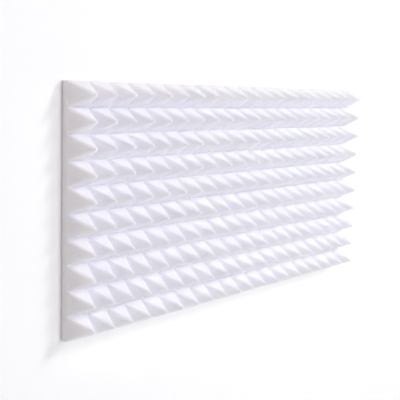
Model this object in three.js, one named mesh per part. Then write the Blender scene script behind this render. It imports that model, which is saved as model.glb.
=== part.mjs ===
// Pyramid acoustic foam panel, hung on a wall by strips of double-sided mounting tape.
// Millimetres. +X is to the right seen from the room, +Z is up and the wall's face is the plane y = 0,
// so the foam stands out of the wall towards -Y. The origin is the middle of the panel on the wall.

import * as THREE from 'three';

// Pyramid field
const pyramidPitch = 50;
const pyramidColumns = 20;
const pyramidRows = 10;
const pyramidHeight = 54; // from the valleys to the tips
const slabThickness = 16; // solid foam behind the valleys

// Blunt tip and softened ridges
const tipSide = 1.6; // each side of the tip's octagon that faces up, down, left or right
const ridgeWidth = 2.4; // the octagon's other sides, where the softened ridges end
const tipCrown = 1.2; // the tip's rise above the octagon

// Mounting strips
const stripLength = 150;
const stripWidth = 25;
const stripThickness = 1;
const stripCornerRadius = 3;
const stripEdgeMargin = 30; // from the panel's edge to the strip
const stripSpacing = 400; // widest distance between strips in a row
const stripSeatGap = 0.3; // between a strip and the back of the foam

// Colours and finish
const foamColour = 0xe4e2ee;
const stripColour = 0xf0efe9;
const foamRoughness = 0.95;
const stripRoughness = 0.6;

// What follows from them
const panelWidth = pyramidPitch * pyramidColumns;
const panelHeight = pyramidPitch * pyramidRows;
const backDepth = stripThickness + stripSeatGap;
const valleyDepth = backDepth + slabThickness;
const tipDepth = valleyDepth + pyramidHeight;
const tipEdgeDepth = tipDepth - tipCrown;

// A closed surface that is built up face by face. A point is given by x, its depth out of the wall and z,
// and a face lists its points anticlockwise as seen from outside the foam.
class SurfaceBuilder {
  constructor() {
    this.positions = [];
    this.indices = [];
  }

  point(x, depth, z) {
    this.positions.push(x, -depth, z);
    return this.positions.length / 3 - 1;
  }

  triangle(a, b, c) {
    this.indices.push(a, b, c);
  }

  quad(a, b, c, d) {
    this.triangle(a, b, c);
    this.triangle(a, c, d);
  }

  geometry() {
    const geometry = new THREE.BufferGeometry();
    geometry.setAttribute('position', new THREE.Float32BufferAttribute(this.positions, 3));
    geometry.setIndex(this.indices);
    geometry.computeVertexNormals();
    return geometry;
  }
}

// The pyramid on the square of foam with these four corners: four faces, four softened ridges that
// widen from nothing at the corners, and a blunt eight-sided tip.
function addPyramid(surface, corners, centreX, centreZ) {
  const halfTip = tipSide / 2 + ridgeWidth / Math.SQRT2;
  const axis = new THREE.Vector2();
  const rim = [];
  for (let side = 0; side < 4; side += 1) {
    for (const along of [-tipSide / 2, tipSide / 2]) {
      const corner = new THREE.Vector2(along, -halfTip).rotateAround(axis, (side * Math.PI) / 2);
      rim.push(surface.point(centreX + corner.x, tipEdgeDepth, centreZ + corner.y));
    }
  }
  const crown = surface.point(centreX, tipDepth, centreZ);
  for (let side = 0; side < 4; side += 1) {
    const start = rim[2 * side];
    const end = rim[2 * side + 1];
    const previous = rim[(2 * side + 7) % 8];
    surface.quad(corners[side], corners[(side + 1) % 4], end, start);
    surface.triangle(corners[side], start, previous);
    surface.triangle(crown, start, end);
    surface.triangle(crown, previous, start);
  }
}

// One cut edge of the slab, between two corners of its back and a row of valley ends along its front.
function addSlabEdge(surface, backStart, backEnd, valleyEnds) {
  const middle = Math.floor(valleyEnds.length / 2);
  for (let i = 1; i < valleyEnds.length; i += 1) {
    const back = i <= middle ? backStart : backEnd;
    surface.triangle(back, valleyEnds[i], valleyEnds[i - 1]);
  }
  surface.triangle(backStart, backEnd, valleyEnds[middle]);
}

// The whole block of foam: a flat slab and its pyramids, cut from one piece.
function foamPanelGeometry() {
  const surface = new SurfaceBuilder();
  const valleys = []; // valleys[row][column], where the pyramids' corners meet
  for (let row = 0; row <= pyramidRows; row += 1) {
    const z = row * pyramidPitch - panelHeight / 2;
    valleys.push([]);
    for (let column = 0; column <= pyramidColumns; column += 1) {
      const x = column * pyramidPitch - panelWidth / 2;
      valleys[row].push(surface.point(x, valleyDepth, z));
    }
  }
  for (let row = 0; row < pyramidRows; row += 1) {
    for (let column = 0; column < pyramidColumns; column += 1) {
      const corners = [
        valleys[row][column],
        valleys[row][column + 1],
        valleys[row + 1][column + 1],
        valleys[row + 1][column],
      ];
      const centreX = (column + 0.5) * pyramidPitch - panelWidth / 2;
      const centreZ = (row + 0.5) * pyramidPitch - panelHeight / 2;
      addPyramid(surface, corners, centreX, centreZ);
    }
  }
  const lowLeft = surface.point(-panelWidth / 2, backDepth, -panelHeight / 2);
  const lowRight = surface.point(panelWidth / 2, backDepth, -panelHeight / 2);
  const highRight = surface.point(panelWidth / 2, backDepth, panelHeight / 2);
  const highLeft = surface.point(-panelWidth / 2, backDepth, panelHeight / 2);
  surface.quad(lowLeft, highLeft, highRight, lowRight);
  addSlabEdge(surface, lowLeft, lowRight, valleys[0]);
  addSlabEdge(surface, lowRight, highRight, valleys.map((row) => row[pyramidColumns]));
  addSlabEdge(surface, highRight, highLeft, [...valleys[pyramidRows]].reverse());
  addSlabEdge(surface, highLeft, lowLeft, valleys.map((row) => row[0]).reverse());
  return surface.geometry();
}

// One strip of tape with rounded corners, its back on the wall.
function stripGeometry() {
  const [halfLength, halfWidth, r] = [stripLength / 2, stripWidth / 2, stripCornerRadius];
  const outline = new THREE.Shape();
  outline.moveTo(r - halfLength, -halfWidth);
  outline.lineTo(halfLength - r, -halfWidth);
  outline.absarc(halfLength - r, r - halfWidth, r, -Math.PI / 2, 0);
  outline.lineTo(halfLength, halfWidth - r);
  outline.absarc(halfLength - r, halfWidth - r, r, 0, Math.PI / 2);
  outline.lineTo(r - halfLength, halfWidth);
  outline.absarc(r - halfLength, halfWidth - r, r, Math.PI / 2, Math.PI);
  outline.lineTo(-halfLength, r - halfWidth);
  outline.absarc(r - halfLength, r - halfWidth, r, Math.PI, Math.PI * 1.5);
  const geometry = new THREE.ExtrudeGeometry(outline, {
    depth: stripThickness,
    bevelEnabled: false,
    curveSegments: 4,
  });
  geometry.rotateX(Math.PI / 2);
  return geometry;
}

// Centres of a row of strips along the panel, the end ones at the margin from its ends.
function stripPlaces() {
  const last = panelWidth / 2 - stripEdgeMargin - stripLength / 2;
  const gaps = Math.max(1, Math.ceil((2 * last) / stripSpacing));
  return Array.from({ length: gaps + 1 }, (_, i) => last * ((2 * i) / gaps - 1));
}

function namedMesh(name, geometry, material, x = 0, z = 0) {
  const mesh = new THREE.Mesh(geometry, material);
  mesh.name = name;
  mesh.position.set(x, 0, z);
  return mesh;
}

function stripMaterial() {
  return new THREE.MeshStandardMaterial({
    color: stripColour,
    roughness: stripRoughness,
    metalness: 0,
  });
}

const group = new THREE.Group();

const foamMaterial = new THREE.MeshStandardMaterial({
  color: foamColour,
  roughness: foamRoughness,
  metalness: 0,
  flatShading: true,
});
group.add(namedMesh('foam_panel', foamPanelGeometry(), foamMaterial));

const stripRowHeight = panelHeight / 2 - stripEdgeMargin - stripWidth / 2;
for (const [rowName, z] of [['top', stripRowHeight], ['bottom', -stripRowHeight]]) {
  stripPlaces().forEach((x, i) => {
    const name = `mounting_strip_${rowName}_${i + 1}`;
    group.add(namedMesh(name, stripGeometry(), stripMaterial(), x, z));
  });
}
group.add(namedMesh('mounting_strip_centre', stripGeometry(), stripMaterial()));

export default group;
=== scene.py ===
import math
import random

import bpy
from bpy.props import FloatProperty, FloatVectorProperty, IntProperty, PointerProperty
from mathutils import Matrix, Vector, noise


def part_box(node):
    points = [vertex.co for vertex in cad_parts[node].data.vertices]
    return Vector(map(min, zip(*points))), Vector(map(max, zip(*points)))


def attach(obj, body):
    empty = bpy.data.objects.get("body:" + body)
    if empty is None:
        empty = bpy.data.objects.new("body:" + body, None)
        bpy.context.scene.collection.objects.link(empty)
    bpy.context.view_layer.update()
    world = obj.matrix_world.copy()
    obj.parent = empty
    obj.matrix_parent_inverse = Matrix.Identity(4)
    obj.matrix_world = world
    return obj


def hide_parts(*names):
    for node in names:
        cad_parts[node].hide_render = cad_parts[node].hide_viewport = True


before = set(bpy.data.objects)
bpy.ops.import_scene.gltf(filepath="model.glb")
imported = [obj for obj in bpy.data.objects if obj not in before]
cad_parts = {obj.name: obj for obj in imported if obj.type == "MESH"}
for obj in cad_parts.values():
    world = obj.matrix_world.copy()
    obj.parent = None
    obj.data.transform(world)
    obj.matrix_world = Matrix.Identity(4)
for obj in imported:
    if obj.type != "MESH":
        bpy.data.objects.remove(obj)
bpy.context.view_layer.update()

bl_info = {
    "name": "Pyramid foam panel",
    "version": (1, 0, 0),
    "blender": (4, 5, 0),
    "location": "View3D > Sidebar > Foam panel",
    "description": "Builds a wall panel of white pyramid foam on strips of mounting tape",
    "category": "Add Mesh",
}

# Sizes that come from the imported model
foam_low, foam_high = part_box("foam_panel")
strip_nodes = sorted(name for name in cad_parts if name.startswith("mounting_strip"))
panel_width = foam_high.x - foam_low.x
panel_height = foam_high.z - foam_low.z
back_depth = -foam_high.y
tip_depth = -foam_low.y

# How far the wall and the floor go to the left and right, and the floor behind the wall
room_reach = 4.0


# Settings

class FoamBlockSettings(bpy.types.PropertyGroup):
    """Shape of the block of foam and its pyramids."""
    pitch: FloatProperty(
        name="Pyramid pitch", description="Distance from one tip to the next",
        default=0.05, min=0.02, unit="LENGTH")
    pyramid_height: FloatProperty(
        name="Pyramid height", description="From the valleys to the tips",
        default=0.054, min=0.01, unit="LENGTH")
    tip_radius: FloatProperty(
        name="Tip radius", description="Rounding of each tip",
        default=0.0036, min=0.0005, unit="LENGTH")
    ridge_radius: FloatProperty(
        name="Ridge radius", description="Rounding of the four ridges of a pyramid",
        default=0.0055, min=0.0002, unit="LENGTH")
    valley_radius: FloatProperty(
        name="Valley radius", description="Rounding at the bottom of the valleys",
        default=0.0003, min=0.0001, unit="LENGTH")
    edge_radius: FloatProperty(
        name="Back edge radius", description="Rounding where the cut edges meet the back",
        default=0.0003, min=0.0001, unit="LENGTH")
    sway: FloatProperty(
        name="Sway", description="How far the soft block wanders from a true grid",
        default=0.0003, min=0.0, unit="LENGTH")
    tip_lean: FloatProperty(
        name="Tip lean", description="How far a tip may lean to any side",
        default=0.0003, min=0.0, unit="LENGTH")
    ripple: FloatProperty(
        name="Ripple", description="Unevenness of the cut faces",
        default=0.00008, min=0.0, unit="LENGTH")
    seed: IntProperty(
        name="Seed", description="Changes the unevenness", default=11, min=0)


class FoamFinishSettings(bpy.types.PropertyGroup):
    """Colour and grain of the cut foam."""
    colour: FloatVectorProperty(
        name="Foam colour", description="Colour of the cell walls",
        subtype="COLOR", size=3, min=0.0, max=1.0, default=(0.94, 0.925, 0.998))
    # Painted shade: the pore colour stands in for the shade inside the open cells
    pore_shade_colour: FloatVectorProperty(
        name="Pore colour", description="Colour inside the open cells",
        subtype="COLOR", size=3, min=0.0, max=1.0, default=(0.80, 0.775, 0.965))
    cell_size: FloatProperty(
        name="Cell size", description="Distance between the foam's open cells",
        default=0.0011, min=0.0002, unit="LENGTH")
    # How much painted shade the open cells get
    pore_shade_share: FloatProperty(
        name="Pore tint", description="How much of the pore colour shows",
        default=0.35, min=0.0, max=1.0, subtype="FACTOR")
    roughness: FloatProperty(
        name="Roughness", description="Roughness of the cell walls",
        default=0.94, min=0.0, max=1.0, subtype="FACTOR")
    glow_depth: FloatProperty(
        name="Light depth", description="How far light spreads inside the foam",
        default=0.016, min=0.0, unit="LENGTH")


class TapeSettings(bpy.types.PropertyGroup):
    """Layers and colours of the mounting strips."""
    film_thickness: FloatProperty(
        name="Film thickness", description="Adhesive film on each face of the tape",
        default=0.00011, min=0.00002, unit="LENGTH")
    core_inset: FloatProperty(
        name="Core inset", description="How far the foam core lies behind the films' edges",
        default=0.00028, min=0.0, unit="LENGTH")
    corner_radius: FloatProperty(
        name="Corner radius", description="Rounded corners of a strip",
        default=0.003, min=0.0005, unit="LENGTH")
    core_colour: FloatVectorProperty(
        name="Core colour", description="Foam core of the tape",
        subtype="COLOR", size=3, min=0.0, max=1.0, default=(0.80, 0.79, 0.75))
    film_colour: FloatVectorProperty(
        name="Film colour", description="Adhesive film of the tape",
        subtype="COLOR", size=3, min=0.0, max=1.0, default=(0.78, 0.765, 0.69))


class StageSettings(bpy.types.PropertyGroup):
    """Wall, floor and lamps."""
    wall_colour: FloatVectorProperty(
        name="Wall colour", description="Painted wall and floor",
        subtype="COLOR", size=3, min=0.0, max=1.0, default=(0.98, 0.977, 0.96))
    floor_drop: FloatProperty(
        name="Floor drop", description="From the middle of the panel down to the floor",
        default=2.5, min=0.3, unit="LENGTH")
    own_light: FloatProperty(
        name="Own light", description="Share of plain white that the camera sees on the wall",
        default=0.1, min=0.0, max=1.0, subtype="FACTOR")
    room_light: FloatProperty(
        name="Room light", description="Strength of the even light in front of the wall",
        default=0.05, min=0.0)
    back_light: FloatProperty(
        name="Back light", description="Strength of the even light behind the wall",
        default=0.9, min=0.0)
    key_power: FloatProperty(
        name="Key lamp", description="Power of the large soft lamp on the upper right, in watts",
        default=270.0, min=0.0)
    front_power: FloatProperty(
        name="Front lamp", description="Power of the wide soft lamp in front, in watts",
        default=92.0, min=0.0)
    side_power: FloatProperty(
        name="Side lamp",
        description="Power of the pink lamp close to the wall on the left, in watts",
        default=3.0, min=0.0)


# Meshes

class SolidBuilder:
    """Collects the points and faces of one closed solid. Points in the same place are one point.

    Each face belongs to a patch, which is shaded softly inside and has a crisp outline, and has
    the number of its finish among those of the piece."""
    places_per_metre = 1e7

    def __init__(self):
        self.points = []
        self.faces = []
        self.patches = []
        self.finishes = []
        self.places = {}
        self.patch = 0
        self.finish = 0

    def point(self, x, y, z):
        key = tuple(round(value * self.places_per_metre) for value in (x, y, z))
        if key not in self.places:
            self.places[key] = len(self.points)
            self.points.append(Vector((x, y, z)))
        return self.places[key]

    def face(self, *corners):
        """Neighbouring corners at one point count once. A face without an area is left out."""
        corners = [corner for n, corner in enumerate(corners) if corner != corners[n - 1]]
        if len(corners) > 2:
            self.faces.append(corners)
            self.patches.append(self.patch)
            self.finishes.append(self.finish)

    def band(self, outer, inner):
        """A closed band of faces between two rings with the same number of points."""
        for j in range(len(outer)):
            k = (j + 1) % len(outer)
            self.face(outer[j], outer[k], inner[k], inner[j])

    def mesh(self, name):
        mesh = bpy.data.meshes.new(name)
        mesh.from_pydata(self.points, [], self.faces)
        mesh.shade_smooth()
        sums = {}
        for face, patch in zip(mesh.polygons, self.patches):
            weight = face.normal * face.area
            for corner in face.vertices:
                sums[corner, patch] = sums.get((corner, patch), Vector()) + weight
        mesh.normals_split_custom_set([
            sums[corner, patch].normalized()
            for face, patch in zip(mesh.polygons, self.patches) for corner in face.vertices])
        mesh.polygons.foreach_set("material_index", self.finishes)
        return mesh


class PyramidShape:
    """The rings of one pyramid, from its square foot to its rounded tip."""
    # Places of the points along a side, and widths of the rings up the flat faces, as shares
    side_shares = (0.0, 0.07, 0.36, 0.64, 0.93, 1.0)
    foot_shares = (0.955, 0.85, 0.72, 0.58, 0.45, 0.33, 0.22)
    valley_steps = 3
    arc_steps = 4
    cap_steps = 4
    # A ridge starts at the foot with a share of its radius, and has all of it from this far in
    ridge_start = 0.35
    ridge_run = 0.2

    def __init__(self, settings):
        half, height, radius = settings.pitch / 2, settings.pyramid_height, settings.tip_radius
        level = height - radius
        # The height at which the flat faces would meet if the tip were sharp
        share = 1 - (radius / half) ** 2
        sharp_height = (
            level + math.sqrt(level ** 2 - share * (level ** 2 - radius ** 2))) / share
        lean = math.atan(half / sharp_height)
        self.half = half
        self.height = height
        self.rings = []
        slope = math.pi / 2 - lean
        valley = settings.valley_radius
        self.foot_height = valley / math.cos(slope) - valley
        for step in range(1, self.valley_steps + 1):
            turn = slope * step / self.valley_steps
            self.add_ring(half - valley * math.sin(turn),
                          valley / math.cos(slope) - valley * math.cos(turn),
                          settings.ridge_radius)
        for part in self.foot_shares:
            self.add_ring(half * part, sharp_height * (1 - part), settings.ridge_radius)
        for step in range(self.cap_steps):
            angle = lean + (math.pi / 2 - lean) * step / self.cap_steps
            self.add_ring(
                radius * math.cos(angle), level + radius * math.sin(angle), settings.ridge_radius)

    def add_ring(self, half_side, height, ridge_radius):
        rise = min(1.0, (self.half - half_side) / (self.ridge_run * self.half))
        share = self.ridge_start + (1 - self.ridge_start) * rise
        self.rings.append((half_side, height, min(half_side, ridge_radius * share)))

    def outline(self, half_side, corner):
        """Points of a square with rounded corners, anticlockwise as seen from the room."""
        straight = half_side - corner
        points = []
        for side in range(4):
            c, s = math.cos(side * math.pi / 2), math.sin(side * math.pi / 2)
            places = [(straight * (2 * share - 1), -half_side) for share in self.side_shares]
            for step in range(1, self.arc_steps):
                turn = math.pi / 2 * step / self.arc_steps
                places.append((straight + corner * math.sin(turn),
                               -straight - corner * math.cos(turn)))
            points += [(x * c - z * s, x * s + z * c) for x, z in places]
        return points


def add_pyramid(solid, shape, x0, z0, valley_depth):
    """One pyramid on the square of foam about (x0, z0)."""
    sides = len(shape.side_shares)
    per_side = sides + shape.arc_steps - 1
    line = [(shape.half * (2 * share - 1), -shape.half) for share in shape.side_shares]
    foot = []
    for c, s in ((1, 0), (0, 1), (-1, 0), (0, -1)):
        foot.append([solid.point(x0 + x * c - z * s, -valley_depth - shape.foot_height,
                                 z0 + x * s + z * c)
                     for x, z in line])
    rings = [[solid.point(x0 + x, -valley_depth - height, z0 + z)
              for x, z in shape.outline(half_side, corner)]
             for half_side, height, corner in shape.rings]
    first = rings[0]
    for side in range(4):
        start = side * per_side
        for j in range(sides - 1):
            solid.face(foot[side][j], foot[side][j + 1], first[start + j + 1], first[start + j])
        for j in range(sides - 1, per_side):
            solid.face(foot[side][-1], first[(start + j + 1) % len(first)], first[start + j])
    for outer, inner in zip(rings, rings[1:]):
        solid.band(outer, inner)
    tip = solid.point(x0, -valley_depth - shape.height, z0)
    last = rings[-1]
    for j in range(len(last)):
        solid.face(last[j], last[(j + 1) % len(last)], tip)


def add_slab(solid, lines_x, lines_z, valley_depth, edge_radius):
    """The cut edges and the back of the slab, on the same lines as the pyramids' feet."""
    high_x, high_z = lines_x[-1], lines_z[-1]
    outline = [(x, -high_z) for x in lines_x] + [(high_x, z) for z in lines_z[1:]]
    outline += [(x, high_z) for x in lines_x[-2::-1]] + [(-high_x, z) for z in lines_z[-2:0:-1]]
    # Depth and inset of each ring, from the pyramids' feet to the rounding at the back
    levels = [(valley_depth, 0.0)]
    levels += [(valley_depth - (valley_depth - back_depth) * share, 0.0)
               for share in (0.08, 0.4, 0.7, 0.88)]
    arc_steps = 3
    for step in range(arc_steps + 1):
        turn = math.pi / 2 * step / arc_steps
        levels.append((back_depth + edge_radius * (1 - math.sin(turn)),
                       edge_radius * (1 - math.cos(turn))))

    def inset_point(x, z, inset, depth):
        x = max(inset - high_x, min(high_x - inset, x))
        z = max(inset - high_z, min(high_z - inset, z))
        return solid.point(x, -depth, z)

    rings = [[inset_point(x, z, inset, depth) for x, z in outline] for depth, inset in levels]
    across, up = len(lines_x) - 1, len(lines_z) - 1
    for front, back in zip(rings, rings[1:]):
        for j in range(len(front)):
            k = (j + 1) % len(front)
            solid.patch = -1 - sum(j >= turn for turn in (across, across + up, 2 * across + up))
            solid.face(front[k], front[j], back[j], back[k])
    solid.patch = -5
    for x0, x1 in zip(lines_x, lines_x[1:]):
        for z0, z1 in zip(lines_z, lines_z[1:]):
            solid.face(*(inset_point(x, z, edge_radius, back_depth)
                         for x, z in ((x0, z0), (x0, z1), (x1, z1), (x1, z0))))


def soften_block(solid, settings, valley_depth, columns, rows):
    """Moves the block's points a little, as soft foam never lies on a true grid."""
    sways_per_metre, ripples_per_metre = 6.0, 85.0
    # The back moves by this share of what the valleys do
    back_share = 0.3
    flat = 1e-6
    chance = random.Random(settings.seed)
    leans = {}
    for column in range(columns):
        for row in range(rows):
            angle, size = chance.uniform(0, 2 * math.pi), chance.uniform(0.1, 1.0)
            leans[column, row] = Vector((
                size * math.cos(angle), chance.uniform(0.0, 1.0), size * math.sin(angle)))
    offset = Vector((settings.seed * 3.1, settings.seed * 1.7, settings.seed * 2.3))
    # noise_vector takes its pattern from the clock unless it has a seed other than 0
    noise.seed_set(settings.seed + 1)
    for place in solid.points:
        height = -place.y - valley_depth
        level = max(0.0, min(1.0, (-place.y - back_depth) / (valley_depth - back_depth)))
        sway = noise.noise_vector(place * sways_per_metre + offset) * settings.sway
        ripple = noise.noise_vector(place * ripples_per_metre + offset) * settings.ripple
        move = (sway + ripple) * (back_share + (1 - back_share) * level)
        if height > flat:
            column = min(columns - 1, int((place.x + panel_width / 2) / settings.pitch))
            row = min(rows - 1, int((place.z + panel_height / 2) / settings.pitch))
            share = height / settings.pyramid_height
            move += leans[column, row] * settings.tip_lean * share ** 1.5
        elif level < flat:
            move.y = 0.0
        place += move


def tape_outline(half_length, half_width, radius, inset):
    """Points of a strip's outline about (0, 0), anticlockwise as seen from the room."""
    steps = 6
    smallest_radius = 0.0005
    radius = max(radius - inset, smallest_radius)
    reach_x, reach_z = half_length - inset - radius, half_width - inset - radius
    points = []
    for turn, (sx, sz) in enumerate(((1, -1), (1, 1), (-1, 1), (-1, -1))):
        for step in range(steps + 1):
            angle = math.pi / 2 * (turn - 1 + step / steps)
            points.append((sx * reach_x + radius * math.cos(angle),
                           sz * reach_z + radius * math.sin(angle)))
    return points


def tape_strip_mesh(name, low, high, settings, chance):
    """One strip: an adhesive film, a foam core that swells a little between them, and a film."""
    middle, size = (low + high) / 2, high - low
    film, inset = settings.film_thickness, settings.core_inset
    thick = size.y
    film_lip = 0.00006
    edge_wander = 0.00008
    core, outer = 0, 1
    # Depth from the wall, inset and finish of each ring, from the foam's side to the wall's
    levels = [
        (thick, film_lip, outer), (thick - film * 0.3, 0.0, outer), (thick - film, 0.0, outer),
        (thick - film, inset, core), (thick * 0.68, inset * 0.45, core),
        (thick * 0.5, inset * 0.3, core), (thick * 0.32, inset * 0.45, core),
        (film, inset, outer), (film, 0.0, outer), (film * 0.3, 0.0, outer),
        (0.0, film_lip, outer)]
    solid = SolidBuilder()
    phase = chance.uniform(0, 50)
    rings = []
    for depth, in_by, _ in levels:
        ring = []
        for x, z in tape_outline(size.x / 2, size.z / 2, settings.corner_radius, in_by):
            wander = edge_wander * noise.noise(Vector((x * 60 + phase, z * 60, depth * 900)))
            ring.append(solid.point(middle.x + x, high.y - depth, middle.z + z + wander))
        rings.append(ring)
    solid.patch, solid.finish = -1, outer
    solid.face(*rings[0])
    for n, (front, back) in enumerate(zip(rings, rings[1:])):
        solid.finish = levels[n][2]
        solid.patch = n * solid.finish
        for j in range(len(front)):
            k = (j + 1) % len(front)
            solid.face(front[k], front[j], back[j], back[k])
    solid.patch, solid.finish = -2, outer
    solid.face(*reversed(rings[-1]))
    return solid.mesh(name)


# Node work

class NodeSheet:
    """Adds nodes to a tree and joins them."""

    def __init__(self, tree):
        self.tree = tree

    def add(self, kind, inputs=None, **settings):
        node = self.tree.nodes.new(kind)
        for name, value in settings.items():
            setattr(node, name, value)
        for socket, value in (inputs or {}).items():
            self.feed(node.inputs[socket], value)
        return node

    def feed(self, socket, value):
        if isinstance(value, bpy.types.NodeSocket):
            self.tree.links.new(value, socket)
        else:
            socket.default_value = value

    def math(self, operation, *values, clamp=False):
        node = self.add("ShaderNodeMath", operation=operation, use_clamp=clamp)
        for socket, value in zip(node.inputs, values):
            self.feed(socket, value)
        return node.outputs[0]

    def spread(self, value, from_low, from_high, to_low, to_high):
        return self.add("ShaderNodeMapRange", {
            "Value": value, "From Min": from_low, "From Max": from_high,
            "To Min": to_low, "To Max": to_high}).outputs["Result"]

    def blend(self, share, first, second, blend_type="MIX"):
        node = self.add("ShaderNodeMix", data_type="RGBA", blend_type=blend_type)
        # A colour mix has its factor, its two colours and its result at these places
        for index, value in ((0, share), (6, first), (7, second)):
            self.feed(node.inputs[index], value)
        return node.outputs[2]

    def toned(self, colour, factor):
        """The colour times a factor about 1."""
        grey = self.add("ShaderNodeCombineColor")
        for socket in grey.inputs:
            self.feed(socket, factor)
        return self.blend(1.0, colour, grey.outputs["Color"], "MULTIPLY")

    def looked_at(self):
        """1 for what the camera sees directly, mirrored or through glass, and 0 for lighting."""
        rays = self.add("ShaderNodeLightPath").outputs
        return self.math("MAXIMUM", rays["Is Camera Ray"], self.math(
            "MAXIMUM", rays["Is Glossy Ray"], rays["Is Transmission Ray"]))


def group_sheet(name, inputs, outputs):
    """A new node group with named sockets: its sheet, its input node and its output node."""
    group = bpy.data.node_groups.new(name, "ShaderNodeTree")
    for label, kind, default in inputs:
        socket = group.interface.new_socket(label, in_out="INPUT", socket_type=kind)
        if default is not None:
            socket.default_value = default
    for label, kind in outputs:
        group.interface.new_socket(label, in_out="OUTPUT", socket_type=kind)
    sheet = NodeSheet(group)
    return sheet, sheet.add("NodeGroupInput"), sheet.add("NodeGroupOutput")


def open_cells_group():
    """Foam cells: thin walls with open pores between them, and a few larger holes. Its pore mask
    marks where shade is painted into the cells and holes.
    """
    name = "Open cells"
    if name in bpy.data.node_groups:
        return bpy.data.node_groups[name]
    sheet, given, out = group_sheet(
        name,
        [("Vector", "NodeSocketVector", None), ("Cells per metre", "NodeSocketFloat", 900.0),
         ("Large holes", "NodeSocketFloat", 0.3)],
        [("Height", "NodeSocketFloat"), ("Shaded pores", "NodeSocketFloat")])
    cells = sheet.add("ShaderNodeTexVoronoi", {
        "Vector": given.outputs["Vector"], "Scale": given.outputs["Cells per metre"],
        "Randomness": 0.9}, feature="F1")
    coarse = sheet.math("MULTIPLY", given.outputs["Cells per metre"], 0.31)
    holes = sheet.add("ShaderNodeTexVoronoi", {
        "Vector": given.outputs["Vector"], "Scale": coarse, "Randomness": 1.0}, feature="F1")
    pore = sheet.spread(cells.outputs["Distance"], 0.12, 0.62, 1.0, 0.0)
    hole = sheet.spread(holes.outputs["Distance"], 0.08, 0.3, 1.0, 0.0)
    deep = sheet.math("MULTIPLY", hole, given.outputs["Large holes"])
    both = sheet.math("MAXIMUM", pore, deep)
    sheet.feed(out.inputs["Height"], sheet.math("SUBTRACT", 1.0, both))
    sheet.feed(out.inputs["Shaded pores"], sheet.math("POWER", both, 1.6))
    return sheet.tree


def soft_mottle_group():
    """Slow, soft patches about 1, for small changes of tone or shine over a surface."""
    name = "Soft mottle"
    if name in bpy.data.node_groups:
        return bpy.data.node_groups[name]
    sheet, given, out = group_sheet(
        name,
        [("Vector", "NodeSocketVector", None), ("Patches per metre", "NodeSocketFloat", 20.0),
         ("Contrast", "NodeSocketFloat", 0.05)],
        [("Factor", "NodeSocketFloat")])
    patches = sheet.add("ShaderNodeTexNoise", {
        "Vector": given.outputs["Vector"], "Scale": given.outputs["Patches per metre"],
        "Detail": 4.0, "Roughness": 0.55})
    centred = sheet.math("SUBTRACT", patches.outputs["Fac"], 0.5)
    sized = sheet.math("MULTIPLY", centred, given.outputs["Contrast"])
    sheet.feed(out.inputs["Factor"], sheet.math("ADD", 1.0, sized))
    return sheet.tree


def finish_sheet(name):
    """A new material with its Principled shader: material, sheet, shader."""
    material = bpy.data.materials.new(name)
    material.use_nodes = True
    sheet = NodeSheet(material.node_tree)
    return material, sheet, material.node_tree.nodes["Principled BSDF"]


def place_group(sheet, group, inputs):
    node = sheet.add("ShaderNodeGroup", node_tree=group)
    for name, value in inputs.items():
        sheet.feed(node.inputs[name], value)
    return node


def tinted(colour):
    return (*colour, 1.0)


def cut_foam_finish(settings):
    """White open-cell foam, cut with a fine blade."""
    material, sheet, shader = finish_sheet("Cut white foam")
    place = sheet.add("ShaderNodeTexCoord").outputs["Object"]
    cells = place_group(sheet, open_cells_group(), {
        "Vector": place, "Cells per metre": 1.0 / settings.cell_size, "Large holes": 0.45})
    mottle = place_group(sheet, soft_mottle_group(), {
        "Vector": place, "Patches per metre": 26.0, "Contrast": 0.05})
    # Painted shade: the pore colour darkens the open cells and the large holes
    shade = sheet.math("MULTIPLY", cells.outputs["Shaded pores"], settings.pore_shade_share)
    mixed = sheet.blend(shade, tinted(settings.colour), tinted(settings.pore_shade_colour))
    sheet.feed(shader.inputs["Base Color"], sheet.toned(mixed, mottle.outputs["Factor"]))
    sheet.feed(shader.inputs["Roughness"], sheet.math(
        "SUBTRACT", settings.roughness + 0.04,
        sheet.math("MULTIPLY", cells.outputs["Height"], 0.06)))
    shader.inputs["Specular IOR Level"].default_value = 0.18
    shader.inputs["Subsurface Weight"].default_value = 1.0
    shader.inputs["Subsurface Radius"].default_value = (1.0, 0.95, 1.0)
    shader.inputs["Subsurface Scale"].default_value = settings.glow_depth
    bump = sheet.add("ShaderNodeBump", {
        "Strength": 0.35, "Distance": 0.0005, "Height": cells.outputs["Height"]})
    sheet.feed(shader.inputs["Normal"], bump.outputs["Normal"])
    return material


def tape_core_finish(settings):
    """Closed-cell foam in the middle of the tape."""
    material, sheet, shader = finish_sheet("Tape foam core")
    place = sheet.add("ShaderNodeTexCoord").outputs["Object"]
    cells = place_group(sheet, open_cells_group(), {
        "Vector": place, "Cells per metre": 5200.0, "Large holes": 0.15})
    mottle = place_group(sheet, soft_mottle_group(), {
        "Vector": place, "Patches per metre": 150.0, "Contrast": 0.08})
    # Painted shade: a darker copy of the core colour in the tape's pores
    shade = sheet.math("MULTIPLY", cells.outputs["Shaded pores"], 0.3)
    core_pore_shade = tuple(channel * 0.75 for channel in settings.core_colour)
    mixed = sheet.blend(shade, tinted(settings.core_colour), tinted(core_pore_shade))
    sheet.feed(shader.inputs["Base Color"], sheet.toned(mixed, mottle.outputs["Factor"]))
    shader.inputs["Roughness"].default_value = 0.72
    bump = sheet.add("ShaderNodeBump", {
        "Strength": 0.4, "Distance": 0.0001, "Height": cells.outputs["Height"]})
    sheet.feed(shader.inputs["Normal"], bump.outputs["Normal"])
    return material


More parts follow.
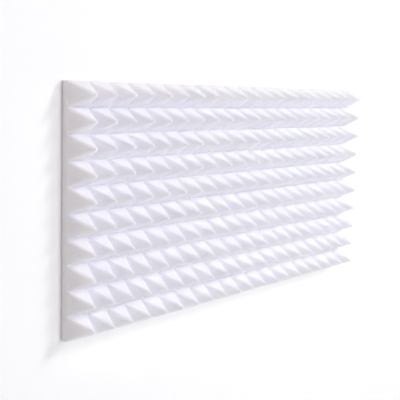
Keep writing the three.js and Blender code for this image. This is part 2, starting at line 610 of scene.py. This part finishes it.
def adhesive_film_finish(settings):
    """Adhesive film with the faint cross-hatch of its liner and duller patches."""
    material, sheet, shader = finish_sheet("Adhesive film")
    place = sheet.add("ShaderNodeTexCoord").outputs["Object"]
    mottle = place_group(sheet, soft_mottle_group(), {
        "Vector": place, "Patches per metre": 90.0, "Contrast": 0.5})
    tone = place_group(sheet, soft_mottle_group(), {
        "Vector": place, "Patches per metre": 35.0, "Contrast": 0.1})
    sheet.feed(shader.inputs["Base Color"],
               sheet.toned(tinted(settings.film_colour), tone.outputs["Factor"]))
    sheet.feed(shader.inputs["Roughness"], sheet.math(
        "MULTIPLY", mottle.outputs["Factor"], 0.34, clamp=True))
    shader.inputs["Coat Weight"].default_value = 0.25
    shader.inputs["Coat Roughness"].default_value = 0.2
    hatch = None
    for turn in (0.7, -0.7):
        turned = sheet.add("ShaderNodeMapping", {
            "Vector": place, "Rotation": (0.0, turn, 0.0)})
        lines = sheet.add("ShaderNodeTexWave", {
            "Vector": turned.outputs["Vector"], "Scale": 130.0, "Distortion": 0.4},
            wave_type="BANDS", bands_direction="X")
        ridge = sheet.spread(lines.outputs["Fac"], 0.8, 1.0, 0.0, 1.0)
        hatch = ridge if hatch is None else sheet.math("MAXIMUM", hatch, ridge)
    bump = sheet.add("ShaderNodeBump", {
        "Strength": 0.25, "Distance": 0.0001, "Height": hatch})
    sheet.feed(shader.inputs["Normal"], bump.outputs["Normal"])
    return material


def stage_finish(name, settings):
    """Matt paint. The camera sees a share of plain white on it, and nothing from behind."""
    material, sheet, shader = finish_sheet(name)
    place = sheet.add("ShaderNodeTexCoord").outputs["Object"]
    mottle = place_group(sheet, soft_mottle_group(), {
        "Vector": place, "Patches per metre": 3.0, "Contrast": 0.01})
    sheet.feed(shader.inputs["Base Color"],
               sheet.toned(tinted(settings.wall_colour), mottle.outputs["Factor"]))
    shader.inputs["Roughness"].default_value = 1.0
    shader.inputs["Specular IOR Level"].default_value = 0.0
    share = sheet.math("MULTIPLY", sheet.looked_at(), settings.own_light)
    white = sheet.add("ShaderNodeEmission", {"Color": (1.0, 1.0, 1.0, 1.0), "Strength": 1.0})
    front = sheet.add("ShaderNodeMixShader", {
        0: share, 1: shader.outputs["BSDF"], 2: white.outputs["Emission"]})
    clear = sheet.add("ShaderNodeBsdfTransparent")
    side = sheet.add("ShaderNodeNewGeometry")
    both = sheet.add("ShaderNodeMixShader", {
        0: side.outputs["Backfacing"], 1: front.outputs["Shader"], 2: clear.outputs["BSDF"]})
    out = material.node_tree.nodes["Material Output"]
    sheet.feed(out.inputs["Surface"], both.outputs["Shader"])
    return material


# Building steps

def place_piece(name, mesh, *finishes):
    for finish in finishes:
        mesh.materials.append(finish)
    piece = bpy.data.objects.new(name, mesh)
    bpy.context.scene.collection.objects.link(piece)
    return piece


def build_foam_block(block, finish):
    tolerance = 1e-4
    valley_depth = tip_depth - block.pyramid_height
    columns, rows = round(panel_width / block.pitch), round(panel_height / block.pitch)
    if max(abs(columns * block.pitch - panel_width),
           abs(rows * block.pitch - panel_height)) > tolerance:
        raise ValueError("the pitch has to divide the panel's width and height")
    shape = PyramidShape(block)
    solid = SolidBuilder()

    def grid_lines(count):
        lines = [(cell + share - count / 2) * block.pitch
                 for cell in range(count) for share in shape.side_shares[:-1]]
        return lines + [count / 2 * block.pitch]

    for row in range(rows):
        for column in range(columns):
            solid.patch += 1
            add_pyramid(solid, shape, (column + 0.5 - columns / 2) * block.pitch,
                        (row + 0.5 - rows / 2) * block.pitch, valley_depth)
    add_slab(solid, grid_lines(columns), grid_lines(rows), valley_depth + shape.foot_height,
             block.edge_radius)
    soften_block(solid, block, valley_depth, columns, rows)
    piece = place_piece("pyramid_foam", solid.mesh("pyramid_foam"), cut_foam_finish(finish))
    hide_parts("foam_panel")
    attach(piece, "root")


def build_mounting_strips(tape):
    core, film = tape_core_finish(tape), adhesive_film_finish(tape)
    strip_seed = 5
    chance = random.Random(strip_seed)
    for node in strip_nodes:
        low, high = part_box(node)
        name = node.replace("mounting", "tape")
        piece = place_piece(name, tape_strip_mesh(name, low, high, tape, chance), core, film)
        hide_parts(node)
        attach(piece, "root")


def build_wall(settings):
    """A wall that the tape lies against, open behind the panel so that its back can be seen."""
    solid = SolidBuilder()
    top = 3.0
    # How far the wall goes in behind the panel's edges
    lap = 0.004
    lines_x = (-room_reach, lap - panel_width / 2, panel_width / 2 - lap, room_reach)
    lines_z = (-settings.floor_drop, lap - panel_height / 2, panel_height / 2 - lap, top)
    for i in range(3):
        for j in range(3):
            if (i, j) != (1, 1):
                solid.face(*(solid.point(x, 0.0, z) for x, z in (
                    (lines_x[i], lines_z[j]), (lines_x[i + 1], lines_z[j]),
                    (lines_x[i + 1], lines_z[j + 1]), (lines_x[i], lines_z[j + 1]))))
    wall = place_piece("wall", solid.mesh("wall"), stage_finish("Wall paint", settings))


def build_floor(settings):
    solid = SolidBuilder()
    z = -settings.floor_drop
    front = -5.0
    solid.face(*(solid.point(x, y, z) for x, y in (
        (-room_reach, front), (room_reach, front),
        (room_reach, room_reach), (-room_reach, room_reach))))
    floor = place_piece("floor", solid.mesh("floor"), stage_finish("Floor paint", settings))


def add_soft_lamp(name, place, size, power, colour):
    """A lamp with a width and a height that is turned to the middle of the panel."""
    lamp = bpy.data.lights.new(name, "AREA")
    lamp.shape = "RECTANGLE"
    lamp.size, lamp.size_y = size
    lamp.energy = power
    lamp.color = colour
    holder = bpy.data.objects.new(name, lamp)
    holder.location = place
    holder.rotation_euler = (-Vector(place)).to_track_quat("-Z", "Y").to_euler()
    bpy.context.scene.collection.objects.link(holder)


def light_room(settings):
    """Large soft lamps, mostly from the right, and an even room that is bright behind the wall."""
    world = bpy.data.worlds.new("Room")
    world.use_nodes = True
    sheet = NodeSheet(world.node_tree)
    background = world.node_tree.nodes["Background"]
    way = sheet.add("ShaderNodeTexCoord").outputs["Generated"]
    depth = sheet.add("ShaderNodeSeparateXYZ", {"Vector": way}).outputs["Y"]
    behind = sheet.math("GREATER_THAN", depth, 0.0)
    even = sheet.spread(behind, 0.0, 1.0, settings.room_light, settings.back_light)
    background.inputs["Color"].default_value = (1.0, 1.0, 1.0, 1.0)
    sheet.feed(background.inputs["Strength"],
               sheet.spread(sheet.looked_at(), 0.0, 1.0, even, 1.0))
    bpy.context.scene.world = world
    cool, pink = (0.95, 0.957, 1.0), (1.0, 0.60, 0.68)
    add_soft_lamp("Key lamp", (4.36, -5.0, 3.9), (1.8, 1.8), settings.key_power, cool)
    add_soft_lamp("Front lamp", (0.2, -3.8, 0.85), (2.4, 2.0), settings.front_power, cool)
    add_soft_lamp("Side lamp", (-1.8, -0.15, 1.15), (0.3, 0.8), settings.side_power, pink)


def set_camera():
    """Left of the panel and close to it, at the height of its top edge."""
    camera = bpy.data.objects.new("Camera", bpy.data.cameras.new("Camera"))
    camera.location = (-1.4205, -1.1458, 0.2396)
    camera.rotation_euler = tuple(math.radians(angle) for angle in (81.865, -1.669, -48.82))
    camera.data.lens = 69.5
    camera.data.sensor_width = 36.0
    camera.data.clip_start = 0.05
    camera.data.clip_end = 30.0
    bpy.context.scene.collection.objects.link(camera)
    bpy.context.scene.camera = camera


# Operators

class FOAMPANEL_OT_foam_block(bpy.types.Operator):
    """Builds the block of pyramid foam"""
    bl_idname = "foampanel.foam_block"
    bl_label = "Foam block"

    def execute(self, context):
        build_foam_block(context.scene.foam_block, context.scene.foam_finish)
        return {"FINISHED"}


class FOAMPANEL_OT_mounting_strips(bpy.types.Operator):
    """Builds the strips of double-sided tape behind the foam"""
    bl_idname = "foampanel.mounting_strips"
    bl_label = "Mounting strips"

    def execute(self, context):
        build_mounting_strips(context.scene.mounting_tape)
        return {"FINISHED"}


class FOAMPANEL_OT_stage(bpy.types.Operator):
    """Sets the camera, the wall, the floor and the lamps"""
    bl_idname = "foampanel.stage"
    bl_label = "Wall, floor and lamps"

    def execute(self, context):
        settings = context.scene.foam_stage
        context.scene.view_settings.view_transform = "Standard"
        set_camera()
        build_wall(settings)
        build_floor(settings)
        light_room(settings)
        return {"FINISHED"}


class FOAMPANEL_PT_sidebar(bpy.types.Panel):
    """Lists the building steps and their settings."""
    bl_idname = "FOAMPANEL_PT_sidebar"
    bl_label = "Pyramid foam panel"
    bl_space_type = "VIEW_3D"
    bl_region_type = "UI"
    bl_category = "Foam panel"

    def draw(self, context):
        scene = context.scene
        steps = (
            (FOAMPANEL_OT_foam_block, (scene.foam_block, scene.foam_finish)),
            (FOAMPANEL_OT_mounting_strips, (scene.mounting_tape,)),
            (FOAMPANEL_OT_stage, (scene.foam_stage,)))
        for step, groups in steps:
            box = self.layout.box()
            for group in groups:
                for name in group.__annotations__:
                    box.prop(group, name)
            box.operator(step.bl_idname)


classes = (
    FoamBlockSettings, FoamFinishSettings, TapeSettings, StageSettings,
    FOAMPANEL_OT_foam_block, FOAMPANEL_OT_mounting_strips, FOAMPANEL_OT_stage,
    FOAMPANEL_PT_sidebar)
holders = {
    "foam_block": FoamBlockSettings, "foam_finish": FoamFinishSettings,
    "mounting_tape": TapeSettings, "foam_stage": StageSettings}


def register():
    for cls in classes:
        bpy.utils.register_class(cls)
    for name, group in holders.items():
        setattr(bpy.types.Scene, name, PointerProperty(type=group))


def unregister():
    for name in holders:
        delattr(bpy.types.Scene, name)
    for cls in reversed(classes):
        bpy.utils.unregister_class(cls)


def main():
    register()
    bpy.ops.foampanel.foam_block()
    bpy.ops.foampanel.mounting_strips()
    bpy.ops.foampanel.stage()


if __name__ == "__main__":
    main()
